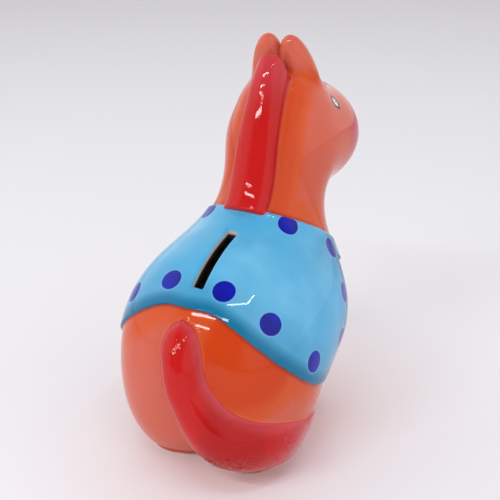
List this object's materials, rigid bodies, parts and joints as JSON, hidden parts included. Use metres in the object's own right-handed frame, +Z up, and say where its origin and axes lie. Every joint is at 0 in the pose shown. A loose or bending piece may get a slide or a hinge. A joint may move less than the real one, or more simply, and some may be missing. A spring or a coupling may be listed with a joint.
{
  "type": "figural animal coin bank",
  "caption": "Hollow glazed ceramic pony coin bank with a raised blanket, a coin slot in the back and a soft stopper in the base.",
  "frame": {"origin": "on the table, on the middle plane, under the middle of the body's length", "axes": "+Z up; the pony looks along -Y; its right side is -X"},
  "size_m": [0.0942, 0.1526, 0.1769],
  "materials": {
    "orange_glaze": "gloss",
    "turquoise_glaze": "gloss",
    "red_glaze": "gloss",
    "bisque": "matte",
    "stopper_rubber": "matte"
  },
  "bodies": {
    "casting": {"base": "bisque", "lower_body": "orange_glaze", "blanket": "turquoise_glaze", "neck_and_head": "orange_glaze", "left_ear": "orange_glaze", "right_ear": "orange_glaze", "mane": "red_glaze", "tail": "red_glaze"},
    "stopper": {"stopper": "stopper_rubber"}
  },
  "joints": [
    {"name": "stopper_pull", "type": "slide", "parent": "casting", "child": "stopper", "axis": [0, 0, -1], "range_m": [0, 0.03]}
  ]
}
